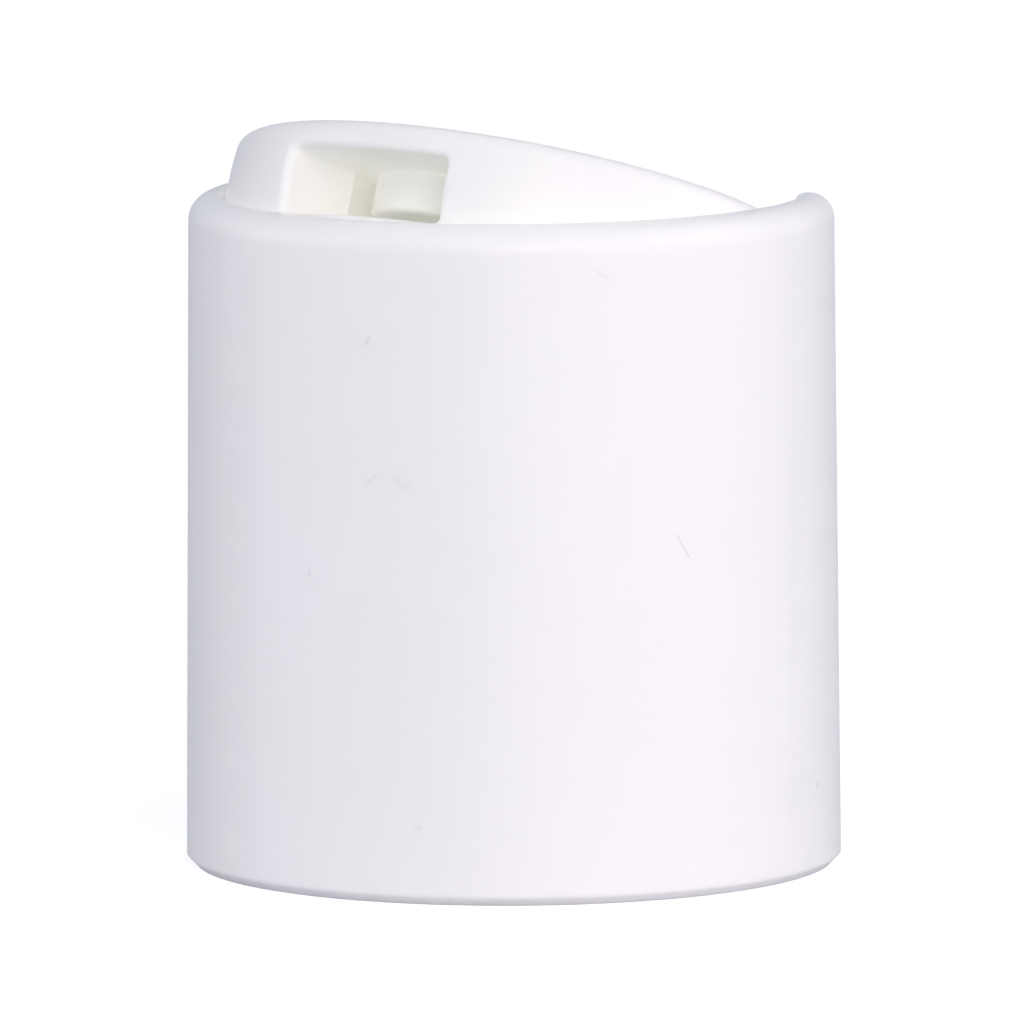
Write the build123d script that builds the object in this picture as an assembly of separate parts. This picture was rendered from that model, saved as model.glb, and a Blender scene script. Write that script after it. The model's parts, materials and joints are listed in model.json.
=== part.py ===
from build123d import *
import os
from math import asin, cos, degrees, radians, sin, sqrt

# Disc top cap for a 24/410 bottle neck, in millimetres.
# The origin is the centre of the base, +Z is up and the pouring window faces -Y.
# The disc rocks about an axis along X. It is modelled level, then tilted open.

os.makedirs("parts", exist_ok=True)

# Neck side of the cap body
neck_bore_radius = 12.2
neck_depth = 18.0
neck_lead_in = 0.5
skirt_wall = 2.05
base_edge_chamfer = 0.4
deck_thickness = 1.3

# Foam gasket that seals on the bottle's lip
gasket_thickness = 1.0
gasket_land = 3.4
gasket_seat_step = 0.3

# Disc that rocks in the cap body
disc_ball_radius = 12.51
disc_top_above_pivot = 2.18
disc_edge_round = 0.64
disc_plate = 1.25
disc_skirt_wall = 1.3
open_tilt = 19.4

# Rim of the cap body round the disc
rim_wall = 1.41
rim_above_pivot = 2.0
rim_edge_round_share = 0.8
rim_inner_chamfer = 0.3
pivot_above_deck = 7.9

# Finger scoop in the rear of the rim
scoop_depth = 2.4
scoop_half_width_share = 0.81
scoop_blend_radius = 4.0

# Pivot pins on the disc
pin_radius = 1.0
pin_length = 0.55
pin_chamfer = 0.25
pin_rib_thickness = 1.0
pin_rib_below_pivot = 0.6

# Orifice spout, sealing plug and the well around them
spout_bore_radius = 3.53
spout_wall = 0.52
spout_foot_chamfer = 0.4
spout_lip_chamfer = 0.15
plug_wall = 0.8
plug_reach = 1.8
plug_overlap = 0.62
plug_tip_chamfer = 0.15
well_wall = 0.8
well_rear_below_pivot = 0.7
well_front_gap = 1.17

# Pouring duct and its window
window_half_width = 4.0
window_height = 2.95
window_corner_round = 0.35
window_edge_round = 0.3
duct_half_width_at_well = 3.6
duct_wall = 0.85
duct_floor = 0.8

# Clearances between pieces
ball_clearance = 0.08
pin_clearance = 0.05
pin_end_clearance = 0.12
plug_clearance = 0.1
well_clearance = 0.36
stop_clearance = 0.1
gasket_clearance = 0.1

# Heights that follow, from the base up
deck_top = neck_depth + deck_thickness
pivot_height = deck_top + pivot_above_deck
cap_height = pivot_height + rim_above_pivot

# Heights about the pivot, with the disc level
disc_ceiling = disc_top_above_pivot - disc_plate
plug_tip = disc_ceiling - plug_reach
spout_top = pivot_height + plug_tip + plug_overlap

# Radii that follow, from the axis out
gasket_seat_radius = neck_bore_radius - gasket_seat_step
gasket_radius = gasket_seat_radius - gasket_clearance
base_radius = neck_bore_radius + skirt_wall
disc_skirt_inner_radius = disc_ball_radius - disc_skirt_wall
cavity_radius = disc_ball_radius + ball_clearance
rim_radius = cavity_radius + rim_wall
rim_inner_radius = sqrt(cavity_radius**2 - rim_above_pivot**2) + rim_inner_chamfer
pin_end = cavity_radius + pin_length
socket_end = pin_end + pin_end_clearance
spout_outer_radius = spout_bore_radius + spout_wall
plug_radius = spout_bore_radius - plug_clearance
well_radius = spout_outer_radius + well_clearance
well_outer_radius = well_radius + well_wall

# The spout stands forward, so that the well round it nearly meets the skirt
spout_forward = disc_skirt_inner_radius - well_outer_radius - well_front_gap

# The rear of the disc's skirt stops just above the deck when the disc is open
stop_angle = degrees(asin((pivot_above_deck - stop_clearance) / disc_ball_radius))
skirt_reach = disc_ball_radius * sin(radians(stop_angle - open_tilt))

# Extra length of a cutter past the surface that it cuts
cut_margin = 1.0

ON_AXIS_DOWN = (Align.CENTER, Align.CENTER, Align.MAX)
ON_AXIS_UP = (Align.CENTER, Align.CENTER, Align.MIN)


def ball_point(radius, height):
    """Point of a ball's section at a height above the pivot, as radius and height."""
    return (sqrt(radius**2 - height**2), height)


def body_section():
    """Right half of the cap body's section, before the scoop, sockets and spout."""
    seat_high = ball_point(cavity_radius, rim_above_pivot - rim_inner_chamfer)
    seat_mid = ball_point(cavity_radius, rim_above_pivot / 2)
    seat_low = (cavity_radius, pivot_height)
    gasket_bottom = neck_depth - gasket_thickness
    wall_lean = (rim_radius - base_radius) / cap_height
    base_outside = (base_radius + wall_lean * base_edge_chamfer, base_edge_chamfer)
    walls = Polyline(
        seat_low,
        (cavity_radius, deck_top),
        (0, deck_top),
        (0, neck_depth),
        (gasket_seat_radius, neck_depth),
        (gasket_seat_radius, gasket_bottom),
        (neck_bore_radius, gasket_bottom - gasket_seat_step),
        (neck_bore_radius, neck_lead_in),
        (neck_bore_radius + neck_lead_in, 0),
        (base_radius - base_edge_chamfer, 0),
        base_outside,
        (rim_radius, cap_height),
        (rim_inner_radius, cap_height),
        (seat_high[0], pivot_height + seat_high[1]),
    )
    seat_points = [(radius, pivot_height + height) for radius, height in (seat_high, seat_mid)]
    seat = ThreePointArc(*seat_points, seat_low)
    return Plane.XZ * make_face(walls + seat)


def scoop_cutter():
    """Rear cutter whose lower face is the finger scoop, blended into the level rim."""
    blend_x = scoop_half_width_share * rim_radius
    reach = (blend_x**2 + scoop_depth**2) / (2 * scoop_depth)
    scoop_radius = reach - scoop_blend_radius
    circle_height = cap_height - scoop_depth + scoop_radius
    blend_height = cap_height - scoop_blend_radius
    share = scoop_radius / reach
    tangent = (blend_x * share, circle_height - (circle_height - blend_height) * share)
    blend_lean = asin(blend_x / reach) / 2
    blend_mid_x = blend_x - scoop_blend_radius * sin(blend_lean)
    blend_mid_z = blend_height + scoop_blend_radius * cos(blend_lean)
    top = cap_height + cut_margin
    right = [(blend_x, cap_height), (blend_mid_x, blend_mid_z), tangent]
    left = [(-x, z) for x, z in right]
    outline = (
        ThreePointArc(*right)
        + ThreePointArc(tangent, (0, cap_height - scoop_depth), left[2])
        + ThreePointArc(left[2], left[1], left[0])
        + Polyline(left[0], (-blend_x, top), (blend_x, top), right[0])
    )
    face = Plane.XZ * make_face(outline)
    return extrude(face, -(base_radius + rim_radius))


def spout():
    """Tube that carries the product through the deck to the plug."""
    tube = Cylinder(spout_outer_radius, spout_top - deck_top, align=ON_AXIS_UP)
    return Pos(0, -spout_forward, deck_top) * tube


def spout_bore():
    """Hole through the deck and the spout."""
    bore = Cylinder(spout_bore_radius, spout_top - neck_depth, align=ON_AXIS_UP)
    return Pos(0, -spout_forward, neck_depth) * bore


def pin_sockets():
    """Blind round sockets in the cavity wall for the disc's pins."""
    sockets = Cylinder(pin_radius + pin_clearance, 2 * socket_end, rotation=(0, 90, 0))
    inside = Cylinder(disc_skirt_inner_radius, 2 * socket_end)
    return Pos(0, 0, pivot_height) * (sockets - inside)


def is_round_spout(edge, radius, height):
    """True for a circle of a radius round the spout's axis at a height."""
    if edge.geom_type != GeomType.CIRCLE:
        return False
    offset = edge.arc_center - Vector(0, -spout_forward, height)
    return offset.length + abs(edge.radius - radius) < cut_margin / 100


def is_outer_rim(edge):
    """True for an edge of the rim's top that runs along the outside wall."""
    lowest = cap_height - scoop_depth - cut_margin
    middle = edge.position_at(0.5)
    outside = sqrt(middle.X**2 + middle.Y**2) > cavity_radius + rim_wall / 2
    return outside and edge.bounding_box().min.Z > lowest


def cap_body():
    """Skirt, deck, spout, pivot sockets and scooped rim in one moulding."""
    body = revolve(body_section(), Axis.Z) - scoop_cutter()
    rim_edges = [edge for edge in body.edges() if is_outer_rim(edge)]
    body = fillet(rim_edges, rim_edge_round_share * rim_wall)
    body += spout()
    foot = [edge for edge in body.edges() if is_round_spout(edge, spout_outer_radius, deck_top)]
    body = chamfer(foot, spout_foot_chamfer)
    body -= spout_bore()
    lip = [edge for edge in body.edges() if is_round_spout(edge, spout_bore_radius, spout_top)]
    body = chamfer(lip, spout_lip_chamfer)
    return body - pin_sockets()


def disc_section():
    """Right half of the disc's section about the pivot: plate and ball-shaped skirt."""
    round_radius = disc_ball_radius - disc_edge_round
    round_height = disc_top_above_pivot - disc_edge_round
    round_centre = ball_point(round_radius, round_height)
    growth = disc_ball_radius / round_radius
    edge_start = (round_centre[0], disc_top_above_pivot)
    edge_end = (round_centre[0] * growth, round_height * growth)
    skirt_low = ball_point(disc_ball_radius, -skirt_reach)
    edge = TangentArc(edge_start, edge_end, tangent=(1, 0))
    ball = ThreePointArc(edge_end, (disc_ball_radius, 0), skirt_low)
    inside = Polyline(
        skirt_low,
        (disc_skirt_inner_radius, -skirt_reach),
        (disc_skirt_inner_radius, disc_ceiling),
        (0, disc_ceiling),
        (0, disc_top_above_pivot),
        edge_start,
    )
    return Plane.XZ * make_face(edge + ball + inside)


def well_tube():
    """Round well under the disc that surrounds the spout, cut level with the deck when open."""
    tube = Cylinder(well_outer_radius, disc_ceiling + skirt_reach, align=ON_AXIS_DOWN)
    tube = Pos(0, -spout_forward, disc_ceiling) * tube
    cutter = Box(4 * disc_ball_radius, 4 * disc_ball_radius, 2 * disc_ball_radius, align=ON_AXIS_DOWN)
    rear = well_radius - spout_forward
    return tube - Pos(0, rear, -well_rear_below_pivot) * Rot(X=open_tilt) * cutter


def duct_block():
    """Solid block of the pouring duct, from the well to the middle of the skirt."""
    width = 2 * (window_half_width + duct_wall)
    height = window_height + duct_floor
    length = disc_ball_radius - spout_forward
    block = Box(width, length, height, align=(Align.CENTER, Align.MAX, Align.MAX))
    reach = Cylinder(disc_ball_radius - disc_skirt_wall / 2, height, align=ON_AXIS_DOWN)
    return Pos(0, 0, disc_ceiling) * (Pos(0, -spout_forward, 0) * block & reach)


def duct_passage():
    """Passage of the pouring duct, tapered in plan from the window down to the well."""
    taper = (window_half_width - duct_half_width_at_well) / (disc_ball_radius - spout_forward)
    outer_half_width = window_half_width + taper * cut_margin
    outer_end = -disc_ball_radius - cut_margin
    plan = Polyline(
        (-duct_half_width_at_well, -spout_forward),
        (duct_half_width_at_well, -spout_forward),
        (outer_half_width, outer_end),
        (-outer_half_width, outer_end),
        close=True,
    )
    passage = extrude(Pos(0, 0, disc_ceiling) * make_face(plan), -window_height)
    long_edges = [edge for edge in passage.edges() if edge.length > disc_ball_radius - spout_forward]
    sides = [edge for edge in long_edges if abs(edge.position_at(0.5).X) > duct_half_width_at_well / 2]
    return fillet(sides, window_corner_round)


def is_window_edge(edge):
    """True for a side, top or corner edge of the window on the ball-shaped wall."""
    middle = edge.position_at(0.5)
    on_ball = abs(middle.length - disc_ball_radius) < cut_margin / 100
    in_duct = abs(middle.X) < window_half_width + duct_wall and middle.Y < -spout_forward
    over_floor = middle.Z > disc_ceiling - window_height + cut_margin / 100
    return on_ball and in_duct and over_floor and middle.Z < disc_ceiling + cut_margin / 100


def sealing_plug():
    """Short hollow plug that closes the spout when the disc is level."""
    plug = Cylinder(plug_radius, plug_reach, align=ON_AXIS_DOWN)
    plug = chamfer(plug.edges().group_by(Axis.Z)[0], plug_tip_chamfer)
    hollow = Cylinder(plug_radius - plug_wall, plug_reach, align=ON_AXIS_DOWN)
    return Pos(0, -spout_forward, disc_ceiling) * (plug - hollow)


def pin_ribs():
    """Cross ribs that carry the pins from the well to the skirt."""
    height = disc_ceiling + pin_rib_below_pivot
    rib = Box(2 * disc_skirt_inner_radius, pin_rib_thickness, height, align=ON_AXIS_DOWN)
    return Pos(0, 0, disc_ceiling) * rib


def pivot_pins():
    """Two short pins that stand out of the skirt."""
    pins = Cylinder(pin_radius, 2 * pin_end, rotation=(0, 90, 0))
    pins = chamfer(pins.edges().filter_by(GeomType.CIRCLE), pin_chamfer)
    return pins - Cylinder(disc_skirt_inner_radius, 2 * disc_ball_radius)


def disc_actuator():
    """Disc with skirt, duct, well, plug, ribs and pins in one moulding, level about the pivot."""
    disc = revolve(disc_section(), Axis.Z)
    disc += duct_block() + pin_ribs() + well_tube()
    well_bore = Cylinder(well_radius, disc_ceiling + skirt_reach, align=ON_AXIS_DOWN)
    disc -= Pos(0, -spout_forward, disc_ceiling) * well_bore
    disc -= duct_passage()
    window_edges = [edge for edge in disc.edges() if is_window_edge(edge)]
    disc = fillet(window_edges, window_edge_round)
    return disc + sealing_plug() + pivot_pins()


def neck_gasket():
    """Foam ring that lies against the underside of the deck."""
    ring = Cylinder(gasket_radius, gasket_thickness, align=ON_AXIS_DOWN)
    hole = Cylinder(gasket_radius - gasket_land, gasket_thickness, align=ON_AXIS_DOWN)
    return Pos(0, 0, neck_depth) * (ring - hole)


def opened(disc):
    """Disc lifted to the pivot and tilted with its front up."""
    return Pos(0, 0, pivot_height) * Rot(X=-open_tilt) * disc


nodes = {
    "cap_body": cap_body(),
    "disc_actuator": opened(disc_actuator()),
    "neck_gasket": neck_gasket(),
}

for name, shape in nodes.items():
    export_step(shape, f"parts/{name}.step")
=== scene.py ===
import json
from math import atan2, cos, pi, radians, sin

import bpy
from mathutils import Matrix, Vector

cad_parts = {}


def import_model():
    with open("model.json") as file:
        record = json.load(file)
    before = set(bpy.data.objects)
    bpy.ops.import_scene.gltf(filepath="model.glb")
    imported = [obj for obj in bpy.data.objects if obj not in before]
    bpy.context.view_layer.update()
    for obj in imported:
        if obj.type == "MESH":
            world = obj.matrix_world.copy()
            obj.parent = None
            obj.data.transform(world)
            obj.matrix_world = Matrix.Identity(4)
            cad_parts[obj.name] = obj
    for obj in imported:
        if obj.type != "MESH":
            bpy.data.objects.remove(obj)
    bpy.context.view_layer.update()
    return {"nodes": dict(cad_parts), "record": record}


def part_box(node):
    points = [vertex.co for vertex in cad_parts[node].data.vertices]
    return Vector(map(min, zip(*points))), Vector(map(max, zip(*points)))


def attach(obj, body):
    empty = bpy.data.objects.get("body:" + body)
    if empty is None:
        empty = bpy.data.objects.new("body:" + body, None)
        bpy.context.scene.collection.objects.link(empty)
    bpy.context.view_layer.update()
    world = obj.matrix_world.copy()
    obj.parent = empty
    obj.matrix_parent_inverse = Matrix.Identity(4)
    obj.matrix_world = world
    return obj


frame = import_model()

MM = 0.001

# Sizes taken from the frame
cap_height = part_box("cap_body")[1].z
mounts = {mount["name"]: mount for mount in frame["record"]["mounts"]}
bore_radius = mounts["neck_thread"]["dims"]["r_mm"] * MM


def deselect_all():
    """Nothing stays selected, so that the next operator acts on its own piece alone."""
    if bpy.context.object and bpy.context.object.mode != "OBJECT":
        bpy.ops.object.mode_set(mode="OBJECT")
    bpy.ops.object.select_all(action="DESELECT")


def linear(hex_colour):
    """sRGB hex as a linear colour with full alpha."""
    channels = [int(hex_colour[i : i + 2], 16) / 255 for i in (1, 3, 5)]
    return (*[c / 12.92 if c <= 0.04045 else ((c + 0.055) / 1.055) ** 2.4 for c in channels], 1)


def add(tree, kind, settings=None, links=None):
    """Adds a shader node, sets its properties and sockets, and links its inputs."""
    node = tree.nodes.new(kind)
    for key, value in (settings or {}).items():
        if isinstance(key, int) or key in node.inputs:
            node.inputs[key].default_value = value
        else:
            setattr(node, key, value)
    for key, source in (links or {}).items():
        tree.links.new(source, node.inputs[key])
    return node


def new_material(name):
    """An empty node material."""
    material = bpy.data.materials.new(name)
    material.use_nodes = True
    material.node_tree.nodes.clear()
    return material, material.node_tree


def direction(azimuth, elevation):
    """Unit vector from the object towards a place round it. Azimuth 0 is in front."""
    return Vector(
        (sin(azimuth) * cos(elevation), -cos(azimuth) * cos(elevation), sin(elevation))
    )


# Materials

MELT_PATCH = 6 * MM
MOULD_GRAIN = 0.12 * MM
MOULD_GRAIN_DEPTH = 0.01 * MM
SHADED_EDGE_ROUND = 0.25 * MM
FOAM_CELL = 0.35 * MM
FOAM_CELL_DEPTH = 0.05 * MM
SCATTER_DEPTH = 0.5 * MM
MELT_RAMP = (0.35, 0.65)


def moulded_polypropylene(part, light_tint, dark_tint, glow):
    """White polypropylene, satin as from a fine spark-eroded mould, waxy and slightly translucent.

    The pigment is a little creamy, which only shows where light bounces inside, as in the duct.
    The faint glow is painted light: an even emission that stands for the light that the thin walls
    let through from outside. Its strength is fitted to the photograph, and it stays when the lamps
    are changed.
    """
    material, tree = new_material(f"Injection-moulded white polypropylene, satin, {part}")
    place = add(tree, "ShaderNodeTexCoord")
    # Flow of the melt can leave faint tint patches. Their size here is a guess
    flow = add(
        tree,
        "ShaderNodeTexNoise",
        {"Scale": 1 / MELT_PATCH, "Detail": 3.0, "Roughness": 0.55},
        {"Vector": place.outputs["Object"]},
    )
    tint = add(tree, "ShaderNodeValToRGB", {}, {"Fac": flow.outputs["Fac"]})
    for stop, position, colour in zip(tint.color_ramp.elements, MELT_RAMP, (light_tint, dark_tint)):
        stop.position = position
        stop.color = linear(colour)
    # Grain of the mould steel. Its size and depth here are guesses
    grain = add(
        tree,
        "ShaderNodeTexNoise",
        {"Scale": 1 / MOULD_GRAIN, "Detail": 2.0, "Roughness": 0.6},
        {"Vector": place.outputs["Object"]},
    )
    # Shades the solids' sharp edges as if rounded, because the photograph's edges look softer
    soft_edges = add(tree, "ShaderNodeBevel", {"Radius": SHADED_EDGE_ROUND})
    relief = add(
        tree,
        "ShaderNodeBump",
        {"Strength": 0.12, "Distance": MOULD_GRAIN_DEPTH},
        {"Height": grain.outputs["Fac"], "Normal": soft_edges.outputs["Normal"]},
    )
    shader = add(
        tree,
        "ShaderNodeBsdfPrincipled",
        {
            "subsurface_method": "BURLEY",
            "Roughness": 0.45,
            "IOR": 1.49,
            "Subsurface Weight": 1.0,
            "Subsurface Radius": (1.0, 0.97, 0.9),
            "Subsurface Scale": SCATTER_DEPTH,
            # Painted light: an even glow that stands for the light the thin walls let through
            "Emission Color": linear("#FBFFFD"),
            "Emission Strength": glow,
        },
        {"Base Color": tint.outputs["Color"], "Normal": relief.outputs["Normal"]},
    )
    add(tree, "ShaderNodeOutputMaterial", {}, {"Surface": shader.outputs["BSDF"]})
    return material


def polyethylene_foam():
    """White closed-cell polyethylene foam, die-cut: matt, with fine cells that break the surface.

    The photograph doesn't show the gasket, so its colour and cells are guesses.
    """
    material, tree = new_material("Die-cut closed-cell polyethylene foam, white")
    place = add(tree, "ShaderNodeTexCoord")
    cells = add(
        tree,
        "ShaderNodeTexVoronoi",
        {"Scale": 1 / FOAM_CELL, "Randomness": 1.0},
        {"Vector": place.outputs["Object"]},
    )
    shade = add(tree, "ShaderNodeValToRGB", {}, {"Fac": cells.outputs["Distance"]})
    for stop, colour in zip(shade.color_ramp.elements, ("#E4E3DF", "#F1F0EC")):
        stop.color = linear(colour)
    relief = add(
        tree,
        "ShaderNodeBump",
        {"Strength": 0.6, "Distance": FOAM_CELL_DEPTH},
        {"Height": cells.outputs["Distance"]},
    )
    shader = add(
        tree,
        "ShaderNodeBsdfPrincipled",
        {
            "Roughness": 0.8,
            "IOR": 1.5,
            "Subsurface Weight": 0.3,
            "Subsurface Radius": (1.0, 0.95, 0.9),
            "Subsurface Scale": SCATTER_DEPTH,
        },
        {"Base Color": shade.outputs["Color"], "Normal": relief.outputs["Normal"]},
    )
    add(tree, "ShaderNodeOutputMaterial", {}, {"Surface": shader.outputs["BSDF"]})
    return material


def cotton_lint(shade, hex_colour):
    """Loose lint, taken for cotton: matt, so it only reads as a faint darker line."""
    material, tree = new_material(f"Spun cotton lint, {shade}")
    shader = add(
        tree,
        "ShaderNodeBsdfPrincipled",
        {"Base Color": linear(hex_colour), "Roughness": 0.9, "IOR": 1.45},
    )
    add(tree, "ShaderNodeOutputMaterial", {}, {"Surface": shader.outputs["BSDF"]})
    return material


# One plastic for both mouldings. The disc's copy is painted a shade darker, as painted shade for the
# light that the rim throws onto it, and has a stronger painted glow to light its duct. Both are
# fitted to its tones in the photograph
body_plastic = moulded_polypropylene("body", "#FDFCFA", "#FCFCF8", 0.041)
disc_plastic_with_painted_shade = moulded_polypropylene("disc", "#F6F5F2", "#F5F5F0", 0.073)
foam = polyethylene_foam()
grey_lint = cotton_lint("grey", "#E4E3E9")
pale_lint = cotton_lint("bleached", "#F3F2F5")

for name, material in (
    ("cap_body", body_plastic),
    ("disc_actuator", disc_plastic_with_painted_shade),
    ("neck_gasket", foam),
):
    slots = frame["nodes"][name].data.materials
    slots.clear()
    slots.append(material)


# Neck thread inside the bore, moulded with the cap body

THREAD_PITCH = 3.18 * MM
THREAD_TURNS = 1.5
THREAD_STEPS_A_TURN = 72
THREAD_DEPTH = 0.85 * MM
THREAD_ROOT_WIDTH = 2.0 * MM
THREAD_CREST_WIDTH = 0.9 * MM
THREAD_START = 3.2 * MM
THREAD_FADE_TURNS = 0.08
THREAD_BITE = 0.15 * MM
THREAD_EDGE_ROUND = 0.18 * MM
THREAD_EDGE_SEGMENTS = 3
THREAD_EDGE_ANGLE = radians(35)
THREAD_SMOOTH_ANGLE = radians(40)
WELD = 0.001 * MM


def thread_profile():
    """Trapezium of the ridge's section, standing on the bore wall at the thread's start."""
    middle = bore_radius + (THREAD_BITE - THREAD_DEPTH) / 2
    bpy.ops.mesh.primitive_plane_add(
        size=THREAD_DEPTH + THREAD_BITE,
        location=(middle, 0, THREAD_START),
        rotation=(pi / 2, 0, 0),
    )
    ridge = bpy.context.object
    bpy.ops.object.transform_apply(location=True, rotation=True, scale=True)
    for corner in ridge.data.vertices:
        width = THREAD_CREST_WIDTH if corner.co.x < middle else THREAD_ROOT_WIDTH
        side = 1 if corner.co.z > THREAD_START else -1
        corner.co.z = THREAD_START + side * width / 2
    return ridge


def fade_thread_ends(ridge):
    """The ridge sinks into the bore wall at both ends."""
    for corner in ridge.data.vertices:
        turn = (atan2(corner.co.y, corner.co.x) / (2 * pi)) % 1
        helix_height = THREAD_START + turn * THREAD_PITCH
        turns = turn + round((corner.co.z - helix_height) / THREAD_PITCH)
        from_end = min(turns, THREAD_TURNS - turns)
        sunk = THREAD_DEPTH * max(0, 1 - max(0, from_end) / THREAD_FADE_TURNS)
        outward = Vector((corner.co.x, corner.co.y, 0)).normalized()
        corner.co += outward * sunk


def neck_thread():
    """Right-handed ridge of the bottle thread, swept up the bore and faded out at both ends."""
    deselect_all()
    ridge = thread_profile()
    ridge.name = "neck_thread_ridge"
    sweep = ridge.modifiers.new("sweep", "SCREW")
    sweep.axis = "Z"
    sweep.angle = 2 * pi * THREAD_TURNS
    sweep.screw_offset = THREAD_PITCH * THREAD_TURNS
    sweep.steps = int(THREAD_STEPS_A_TURN * THREAD_TURNS)
    sweep.render_steps = sweep.steps
    bpy.ops.object.modifier_apply(modifier=sweep.name)
    fade_thread_ends(ridge)
    bpy.ops.object.mode_set(mode="EDIT")
    bpy.ops.mesh.select_mode(type="VERT")
    bpy.ops.mesh.select_all(action="SELECT")
    bpy.ops.mesh.remove_doubles(threshold=WELD)
    bpy.ops.mesh.select_all(action="DESELECT")
    bpy.ops.mesh.select_non_manifold()
    bpy.ops.mesh.fill_holes(sides=8)
    bpy.ops.mesh.select_all(action="SELECT")
    bpy.ops.mesh.normals_make_consistent(inside=False)
    bpy.ops.object.mode_set(mode="OBJECT")
    rounding = ridge.modifiers.new("rounding", "BEVEL")
    rounding.width = THREAD_EDGE_ROUND
    rounding.segments = THREAD_EDGE_SEGMENTS
    rounding.limit_method = "ANGLE"
    rounding.angle_limit = THREAD_EDGE_ANGLE
    bpy.ops.object.modifier_apply(modifier=rounding.name)
    bpy.ops.object.shade_smooth_by_angle(angle=THREAD_SMOOTH_ANGLE)
    ridge.data.materials.append(body_plastic)
    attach(ridge, "cap")


# Lint that clings to the wall, each fibre as azimuth in degrees and height in millimetres

FIBRE_THICKNESS = 0.03 * MM
FIBRE_WELD = 0.0005 * MM
# How far a fibre's middle stands off the wall, as a share of its thickness
FIBRE_LIFT = 0.1
FIBRE_CURVE_ORDER = 4
FIBRE_STEPS = 4
BASE_RADIUS = 14.25 * MM
RIM_RADIUS = 14.0 * MM
GREY_FIBRES = (
    ((63.8, 15.78), (64.1, 15.51), (64.6, 15.29), (65.3, 15.1), (65.8, 14.88), (66.1, 14.69)),
    ((101.2, 4.13), (101.1, 3.97), (101.0, 3.81)),
    ((-30.8, 27.42), (-29.7, 27.28), (-28.9, 27.11)),
    ((8.1, 24.38), (7.8, 24.19), (7.3, 23.97)),
)
PALE_FIBRES = (
    (
        (7.4, 18.27),
        (7.6, 18.1),
        (8.1, 18.08),
        (8.7, 18.27),
        (9.1, 18.44),
        (9.8, 18.5),
        (10.5, 18.5),
    ),
    (
        (14.1, 18.45),
        (13.6, 18.32),
        (13.6, 18.15),
        (14.1, 18.0),
        (15.0, 17.95),
        (15.9, 18.02),
        (16.3, 18.17),
    ),
    ((14.6, 18.17), (15.5, 18.19)),
    ((-4.2, 14.21), (-4.3, 14.06), (-4.6, 13.86)),
    ((48.7, 27.31), (49.3, 27.09), (50.1, 26.97), (51.0, 26.95)),
    ((37.8, 26.3), (37.2, 26.15), (36.9, 26.02)),
    ((17.4, 3.53), (17.4, 3.34)),
    ((16.2, 3.37), (17.7, 3.29)),
)


def wall_radius(height):
    """Radius of the cap's outside wall, which narrows a little from the base to the rim."""
    return BASE_RADIUS + (RIM_RADIUS - BASE_RADIUS) * height / cap_height


def lint_fibre(places):
    """One round fibre through the given places on the wall."""
    deselect_all()
    bpy.ops.curve.primitive_nurbs_path_add(location=(0, 0, 0))
    curve = bpy.context.object.data
    curve.splines.clear()
    line = curve.splines.new("NURBS")
    line.points.add(len(places) - 1)
    for point, (azimuth, height) in zip(line.points, places):
        radius = wall_radius(height * MM) + FIBRE_THICKNESS * FIBRE_LIFT
        place = direction(radians(azimuth), 0) * radius
        point.co = (place.x, place.y, height * MM, 1)
    line.order_u = min(FIBRE_CURVE_ORDER, len(places))
    line.use_endpoint_u = True
    line.resolution_u = FIBRE_STEPS
    curve.dimensions = "3D"
    curve.bevel_depth = FIBRE_THICKNESS / 2
    curve.bevel_resolution = 1
    curve.use_fill_caps = True
    bpy.ops.object.convert(target="MESH")
    return bpy.context.object


def lint_on_wall(name, lines, material):
    """Loose fibres that lie on the outside wall, joined in one piece."""
    fibres = [lint_fibre(places) for places in lines]
    deselect_all()
    for fibre in fibres:
        fibre.select_set(True)
    bpy.context.view_layer.objects.active = fibres[0]
    bpy.ops.object.join()
    piece = bpy.context.object
    piece.name = name
    bpy.ops.object.mode_set(mode="EDIT")
    bpy.ops.mesh.select_all(action="SELECT")
    bpy.ops.mesh.remove_doubles(threshold=FIBRE_WELD)
    bpy.ops.mesh.normals_make_consistent(inside=False)
    bpy.ops.object.mode_set(mode="OBJECT")
    bpy.ops.object.shade_smooth()
    piece.data.materials.clear()
    piece.data.materials.append(material)
    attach(piece, "cap")


# Camera, from the photograph

CAMERA_AZIMUTH = radians(33.8)
CAMERA_ELEVATION = radians(7.24)
CAMERA_DISTANCE = 0.734
CAMERA_LENS = 593.7
CAMERA_ROLL = radians(0.25)
CAMERA_CLIP_START = 0.05
CAMERA_CLIP_END = 20
TARGET = Vector((-0.053 * MM, 0.035 * MM, 15.21 * MM))


def camera():
    """The photograph's camera: far off, long lens, a little above the rim."""
    data = bpy.data.cameras.new("camera")
    data.lens = CAMERA_LENS
    data.clip_start = CAMERA_CLIP_START
    data.clip_end = CAMERA_CLIP_END
    eye = bpy.data.objects.new("camera", data)
    bpy.context.scene.collection.objects.link(eye)
    back = direction(CAMERA_AZIMUTH, CAMERA_ELEVATION)
    eye.location = TARGET + back * CAMERA_DISTANCE
    eye.rotation_mode = "QUATERNION"
    level = (-back).to_track_quat("-Z", "Y")
    roll = Matrix.Rotation(-CAMERA_ROLL, 3, "Z").to_quaternion()
    eye.rotation_quaternion = level @ roll
    bpy.context.scene.camera = eye


# Floor, lights and world

FLOOR_SIZE = 6
FLOOR_LIFT = 0.69
WORLD_COLOUR = (0.9, 0.965, 1.11, 1)
WORLD_STRENGTH = 0.42
SOFTBOX_DISTANCE = 1.2
SOFTBOX_SIZE = 0.6
# Softboxes, each as name, azimuth, elevation, power and colour
SOFTBOXES = (
    ("key", radians(46), radians(19), 6.6, (1.0, 0.91, 0.94)),
    ("side", radians(110), radians(19), 3.55, (1.0, 0.91, 0.94)),
    ("fill", radians(-58), radians(17), 2.95, (1.0, 0.96, 1.0)),
)
# White plastic passes light on many times over, so the duct needs more bounces than the default
LIGHT_BOUNCES = 14


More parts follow.
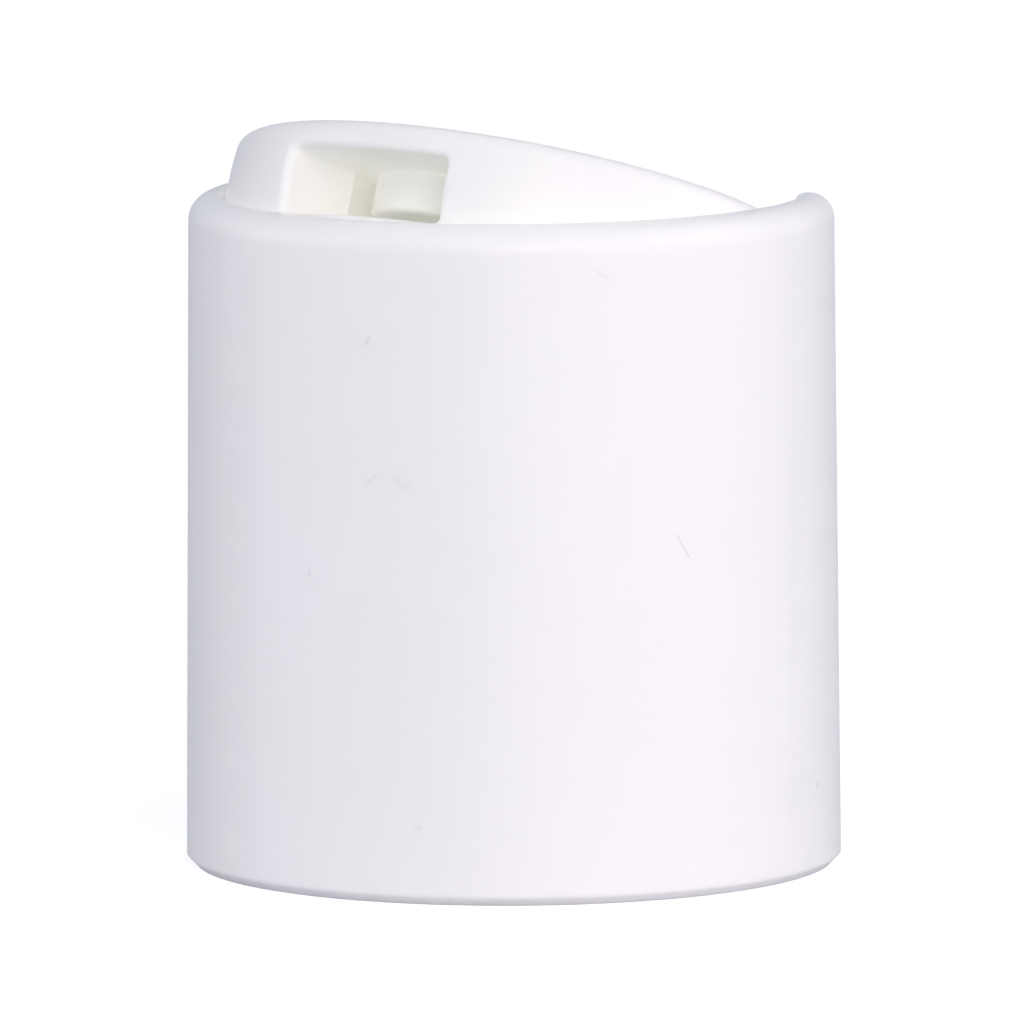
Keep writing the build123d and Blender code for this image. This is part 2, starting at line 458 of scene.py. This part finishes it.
def stage_floor():
    """A pale floor that shows white to the camera and keeps the cap's shadow."""
    deselect_all()
    bpy.ops.mesh.primitive_plane_add(size=FLOOR_SIZE, location=(0, 0, 0))
    floor = bpy.context.object
    floor.name = "floor"
    material, tree = new_material("Matt white studio floor")
    paper = add(tree, "ShaderNodeBsdfDiffuse", {"Color": linear("#C6C6CC")})
    path = add(tree, "ShaderNodeLightPath")
    seen = add(
        tree,
        "ShaderNodeMath",
        {"operation": "MULTIPLY", 1: FLOOR_LIFT},
        {0: path.outputs["Is Camera Ray"]},
    )
    lift = add(tree, "ShaderNodeEmission", {}, {"Strength": seen.outputs["Value"]})
    both = add(
        tree, "ShaderNodeAddShader", {}, {0: paper.outputs["BSDF"], 1: lift.outputs["Emission"]}
    )
    add(tree, "ShaderNodeOutputMaterial", {}, {"Surface": both.outputs["Shader"]})
    floor.data.materials.append(material)


def softbox(name, azimuth, elevation, power, colour):
    """A square softbox that faces the cap."""
    data = bpy.data.lights.new(name, "AREA")
    data.size = SOFTBOX_SIZE
    data.energy = power
    data.color = colour
    lamp = bpy.data.objects.new(name, data)
    bpy.context.scene.collection.objects.link(lamp)
    back = direction(azimuth, elevation)
    lamp.location = TARGET + back * SOFTBOX_DISTANCE
    lamp.rotation_mode = "QUATERNION"
    lamp.rotation_quaternion = (-back).to_track_quat("-Z", "Y")


def world():
    """Even, slightly cool light from all round, which shows white to the camera."""
    sky = bpy.data.worlds.new("studio")
    bpy.context.scene.world = sky
    sky.use_nodes = True
    tree = sky.node_tree
    tree.nodes.clear()
    path = add(tree, "ShaderNodeLightPath")
    light = add(
        tree, "ShaderNodeBackground", {"Color": WORLD_COLOUR, "Strength": WORLD_STRENGTH}
    )
    white = add(tree, "ShaderNodeBackground", {"Color": (1, 1, 1, 1), "Strength": 1.0})
    shown = add(
        tree,
        "ShaderNodeMath",
        {"operation": "MAXIMUM"},
        {0: path.outputs["Is Camera Ray"], 1: path.outputs["Is Transmission Ray"]},
    )
    mixed = add(
        tree,
        "ShaderNodeMixShader",
        {},
        {
            "Fac": shown.outputs["Value"],
            1: light.outputs["Background"],
            2: white.outputs["Background"],
        },
    )
    add(tree, "ShaderNodeOutputWorld", {}, {"Surface": mixed.outputs["Shader"]})


neck_thread()
lint_on_wall("grey_lint_on_wall", GREY_FIBRES, grey_lint)
lint_on_wall("pale_lint_on_wall", PALE_FIBRES, pale_lint)
camera()
stage_floor()
world()
for settings in SOFTBOXES:
    softbox(*settings)

bpy.context.scene.view_settings.view_transform = "Standard"
bpy.context.scene.cycles.max_bounces = LIGHT_BOUNCES
bpy.context.scene.cycles.diffuse_bounces = LIGHT_BOUNCES
